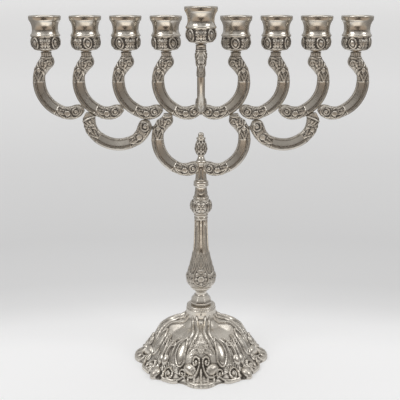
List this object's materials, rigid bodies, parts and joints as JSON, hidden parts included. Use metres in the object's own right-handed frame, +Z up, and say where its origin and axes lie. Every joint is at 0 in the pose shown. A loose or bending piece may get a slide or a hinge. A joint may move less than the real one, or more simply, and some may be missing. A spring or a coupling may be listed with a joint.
{
  "type": "menorah",
  "caption": "Ornate branched candelabrum in antique silver plate: a row of candle cups on curved arms, a raised front cup, and a baluster stem on a lobed dome base.",
  "frame": {"origin": "centre of the base on the table", "axes": "+Z up the stem, X along the row of candles, -Y towards the side where the raised ninth cup (shamash) stands"},
  "size_m": [0.3186, 0.14, 0.3532],
  "materials": {
    "silver_plate": "antique silver plate over cast brass: polished high spots, dark oxidised recesses",
    "steel_hardware": "zinc-plated steel",
    "stud_brass": "plain turned brass",
    "solder": "dull silver solder"
  },
  "bodies": {
    "stand": {"base": "silver_plate", "faceted_knob": "silver_plate", "shaft_foot": "silver_plate", "baluster_shaft": "silver_plate", "flower_knop": "silver_plate", "knop_ring": "silver_plate", "stem_spool": "silver_plate", "tie_rod": "steel_hardware", "base_washer": "steel_hardware", "base_nut": "steel_hardware"},
    "branch_head": {"branch_hub": "silver_plate", "arm_1": "silver_plate", "arm_2": "silver_plate", "arm_3": "silver_plate", "arm_4": "silver_plate", "arm_5": "silver_plate", "arm_6": "silver_plate", "arm_7": "silver_plate", "arm_8": "silver_plate", "bowl_arm_left": "silver_plate", "bowl_arm_right": "silver_plate", "main_arm_left": "silver_plate", "main_arm_right": "silver_plate", "shamash_arm": "silver_plate", "solder_joints": "solder"},
    "finial_collar": {"finial_collar": "silver_plate"},
    "finial": {"finial": "silver_plate"},
    "cup_seat_1": {"cup_seat_1": "silver_plate"},
    "candle_cup_1": {"candle_cup_1": "silver_plate", "cup_stud_1": "stud_brass"},
    "cup_seat_2": {"cup_seat_2": "silver_plate"},
    "candle_cup_2": {"candle_cup_2": "silver_plate", "cup_stud_2": "stud_brass"},
    "cup_seat_3": {"cup_seat_3": "silver_plate"},
    "candle_cup_3": {"candle_cup_3": "silver_plate", "cup_stud_3": "stud_brass"},
    "cup_seat_4": {"cup_seat_4": "silver_plate"},
    "candle_cup_4": {"candle_cup_4": "silver_plate", "cup_stud_4": "stud_brass"},
    "cup_seat_5": {"cup_seat_5": "silver_plate"},
    "candle_cup_5": {"candle_cup_5": "silver_plate", "cup_stud_5": "stud_brass"},
    "cup_seat_6": {"cup_seat_6": "silver_plate"},
    "candle_cup_6": {"candle_cup_6": "silver_plate", "cup_stud_6": "stud_brass"},
    "cup_seat_7": {"cup_seat_7": "silver_plate"},
    "candle_cup_7": {"candle_cup_7": "silver_plate", "cup_stud_7": "stud_brass"},
    "cup_seat_8": {"cup_seat_8": "silver_plate"},
    "candle_cup_8": {"candle_cup_8": "silver_plate", "cup_stud_8": "stud_brass"},
    "cup_seat_shamash": {"cup_seat_shamash": "silver_plate"},
    "candle_cup_shamash": {"candle_cup_shamash": "silver_plate", "cup_stud_shamash": "stud_brass"}
  },
  "joints": [
    {"name": "branch_head_turn", "type": "hinge", "parent": "stand", "child": "branch_head", "pos_m": [0, 0, 0.196], "axis": [0, 0, 1], "continuous": true},
    {"name": "finial_rise", "type": "slide", "parent": "stand", "child": "finial_collar", "axis": [0, 0, 1], "range_m": [0, 0.00481]},
    {"name": "finial_turn", "type": "hinge", "parent": "finial_collar", "child": "finial", "pos_m": [0, 0, 0.206], "axis": [0, 0, 1], "range_deg": [0, 2160]},
    {"name": "cup_1_rise", "type": "slide", "parent": "branch_head", "child": "cup_seat_1", "axis": [0, 0, 1], "range_m": [0, 0.00701]},
    {"name": "cup_1_turn", "type": "hinge", "parent": "cup_seat_1", "child": "candle_cup_1", "pos_m": [-0.1444, 0, 0.3129], "axis": [0, 0, 1], "range_deg": [0, 3600]},
    {"name": "cup_2_rise", "type": "slide", "parent": "branch_head", "child": "cup_seat_2", "axis": [0, 0, 1], "range_m": [0, 0.00701]},
    {"name": "cup_2_turn", "type": "hinge", "parent": "cup_seat_2", "child": "candle_cup_2", "pos_m": [-0.1071, 0, 0.3129], "axis": [0, 0, 1], "range_deg": [0, 3600]},
    {"name": "cup_3_rise", "type": "slide", "parent": "branch_head", "child": "cup_seat_3", "axis": [0, 0, 1], "range_m": [0, 0.00701]},
    {"name": "cup_3_turn", "type": "hinge", "parent": "cup_seat_3", "child": "candle_cup_3", "pos_m": [-0.0698, 0, 0.3129], "axis": [0, 0, 1], "range_deg": [0, 3600]},
    {"name": "cup_4_rise", "type": "slide", "parent": "branch_head", "child": "cup_seat_4", "axis": [0, 0, 1], "range_m": [0, 0.00701]},
    {"name": "cup_4_turn", "type": "hinge", "parent": "cup_seat_4", "child": "candle_cup_4", "pos_m": [-0.0325, 0, 0.3129], "axis": [0, 0, 1], "range_deg": [0, 3600]},
    {"name": "cup_5_rise", "type": "slide", "parent": "branch_head", "child": "cup_seat_5", "axis": [0, 0, 1], "range_m": [0, 0.00701]},
    {"name": "cup_5_turn", "type": "hinge", "parent": "cup_seat_5", "child": "candle_cup_5", "pos_m": [0.0325, 0, 0.3129], "axis": [0, 0, 1], "range_deg": [0, 3600]},
    {"name": "cup_6_rise", "type": "slide", "parent": "branch_head", "child": "cup_seat_6", "axis": [0, 0, 1], "range_m": [0, 0.00701]},
    {"name": "cup_6_turn", "type": "hinge", "parent": "cup_seat_6", "child": "candle_cup_6", "pos_m": [0.0698, 0, 0.3129], "axis": [0, 0, 1], "range_deg": [0, 3600]},
    {"name": "cup_7_rise", "type": "slide", "parent": "branch_head", "child": "cup_seat_7", "axis": [0, 0, 1], "range_m": [0, 0.00701]},
    {"name": "cup_7_turn", "type": "hinge", "parent": "cup_seat_7", "child": "candle_cup_7", "pos_m": [0.1071, 0, 0.3129], "axis": [0, 0, 1], "range_deg": [0, 3600]},
    {"name": "cup_8_rise", "type": "slide", "parent": "branch_head", "child": "cup_seat_8", "axis": [0, 0, 1], "range_m": [0, 0.00701]},
    {"name": "cup_8_turn", "type": "hinge", "parent": "cup_seat_8", "child": "candle_cup_8", "pos_m": [0.1444, 0, 0.3129], "axis": [0, 0, 1], "range_deg": [0, 3600]},
    {"name": "cup_shamash_rise", "type": "slide", "parent": "branch_head", "child": "cup_seat_shamash", "axis": [0, 0, 1], "range_m": [0, 0.00701]},
    {"name": "cup_shamash_turn", "type": "hinge", "parent": "cup_seat_shamash", "child": "candle_cup_shamash", "pos_m": [0, -0.032, 0.3219], "axis": [0, 0, 1], "range_deg": [0, 3600]}
  ],
  "couplings": [
    {"joint": "finial_rise", "follows": "finial_turn", "m_per_rad": 0.00012732},
    {"joint": "cup_1_rise", "follows": "cup_1_turn", "m_per_rad": 0.00011141},
    {"joint": "cup_2_rise", "follows": "cup_2_turn", "m_per_rad": 0.00011141},
    {"joint": "cup_3_rise", "follows": "cup_3_turn", "m_per_rad": 0.00011141},
    {"joint": "cup_4_rise", "follows": "cup_4_turn", "m_per_rad": 0.00011141},
    {"joint": "cup_5_rise", "follows": "cup_5_turn", "m_per_rad": 0.00011141},
    {"joint": "cup_6_rise", "follows": "cup_6_turn", "m_per_rad": 0.00011141},
    {"joint": "cup_7_rise", "follows": "cup_7_turn", "m_per_rad": 0.00011141},
    {"joint": "cup_8_rise", "follows": "cup_8_turn", "m_per_rad": 0.00011141},
    {"joint": "cup_shamash_rise", "follows": "cup_shamash_turn", "m_per_rad": 0.00011141}
  ]
}
